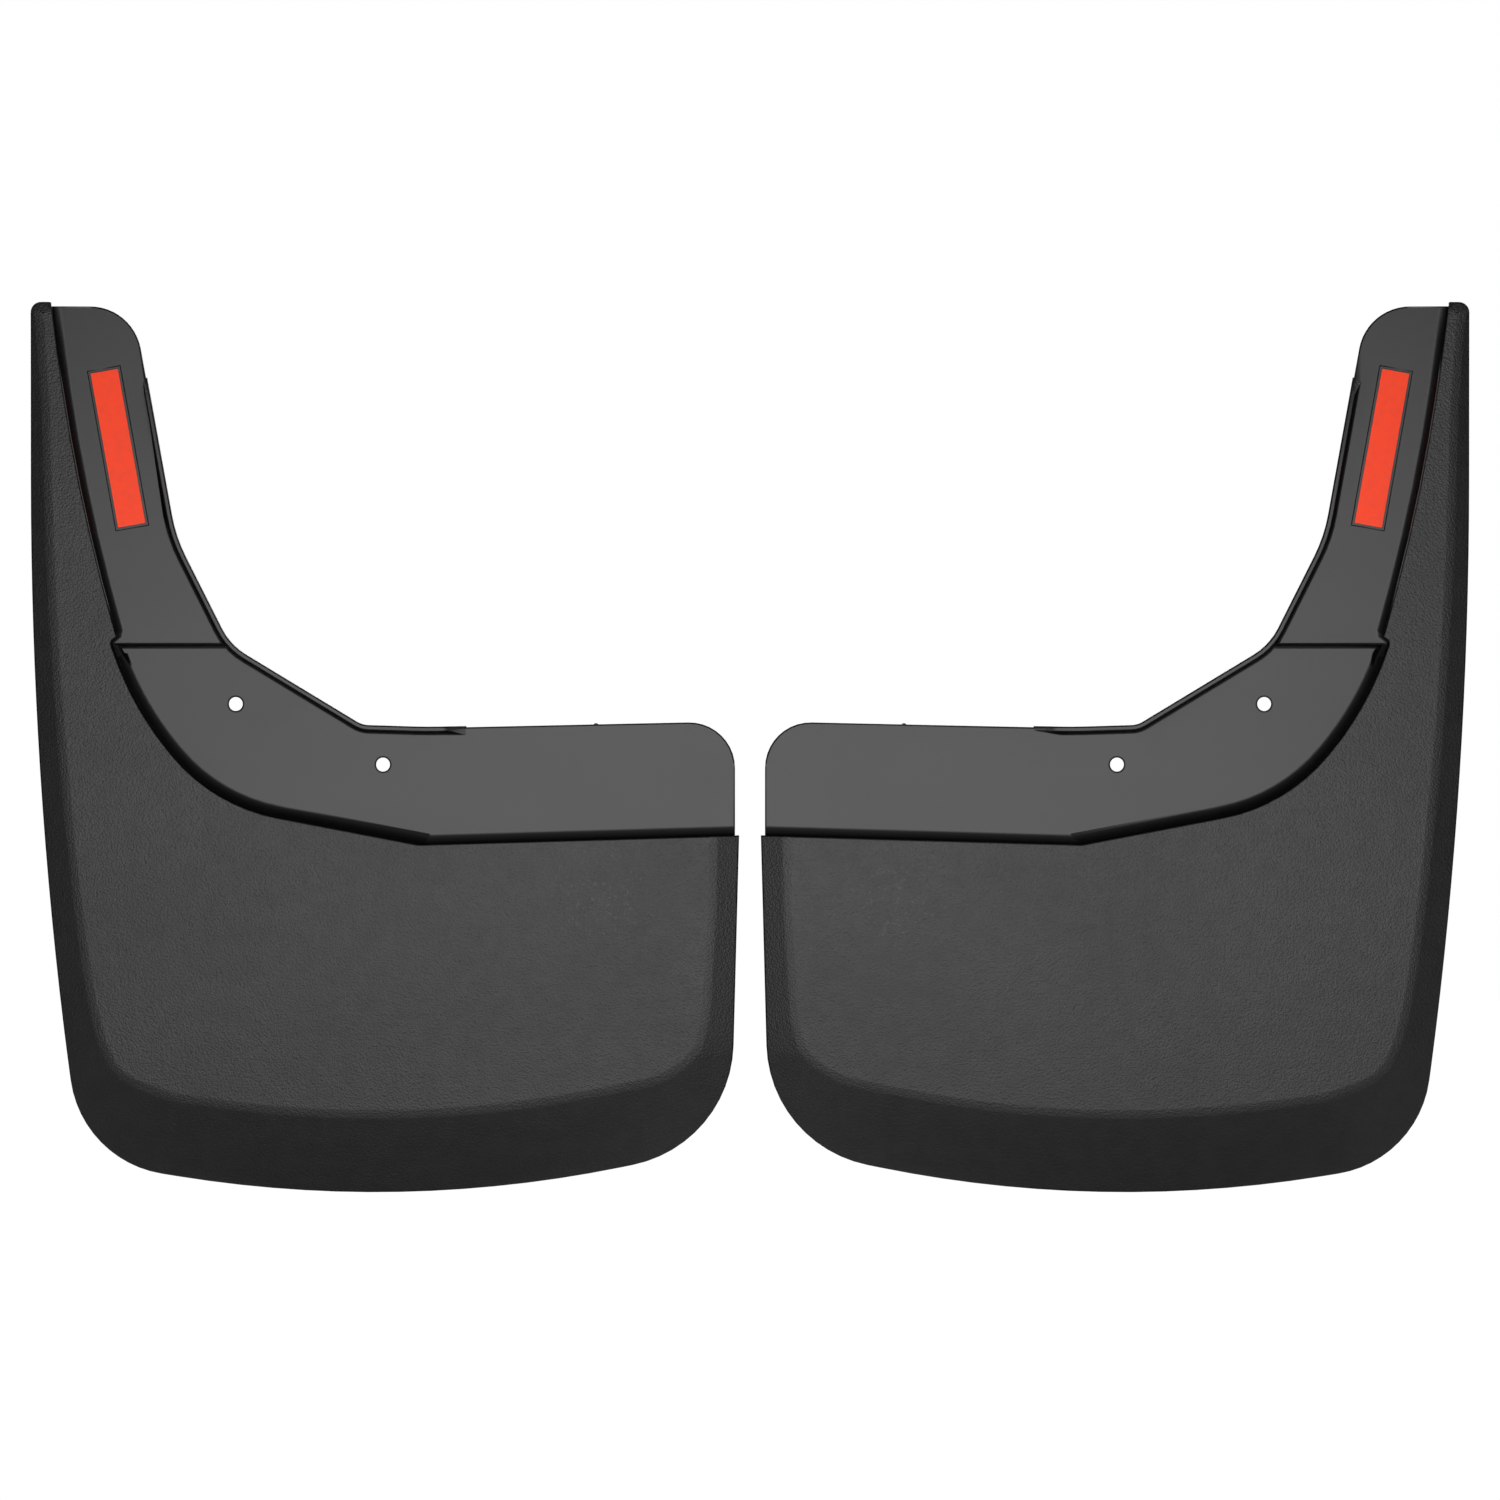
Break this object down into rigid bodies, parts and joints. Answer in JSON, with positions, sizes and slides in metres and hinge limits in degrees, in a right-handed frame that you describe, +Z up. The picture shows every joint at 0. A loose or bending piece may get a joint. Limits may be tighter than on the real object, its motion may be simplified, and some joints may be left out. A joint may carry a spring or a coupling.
{
  "type": "pair of moulded mud guards",
  "caption": "Mirrored pair of contoured truck mud guards: grained fascia with bevelled skirt, recessed screw-on flange, edge rib and a foam tape strip with release liner on each.",
  "frame": {"origin": "middle of the pair's bounding box, on the mirror plane between the two guards", "axes": "+Z up as mounted; the grained fascias face -Y and the wheel side faces +Y; the left guard lies on the -X side with its tall stem outermost"},
  "size_m": [0.662, 0.018, 0.41],
  "materials": {
    "guard_plastic": "fine grain on the fascia, smooth satin on the flange",
    "foam": "matt closed-cell foam",
    "liner_film": "smooth satin film"
  },
  "bodies": {
    "guards": {"left_guard": "guard_plastic", "left_foam_tape": "foam", "right_guard": "guard_plastic", "right_foam_tape": "foam"},
    "left_liner": {"left_release_liner": "liner_film"},
    "right_liner": {"right_release_liner": "liner_film"}
  },
  "joints": [
    {"name": "left_liner_peel", "type": "slide", "parent": "guards", "child": "left_liner", "axis": [0, -1, 0], "range_m": [0, 0.05]},
    {"name": "right_liner_peel", "type": "slide", "parent": "guards", "child": "right_liner", "axis": [0, -1, 0], "range_m": [0, 0.05]}
  ]
}
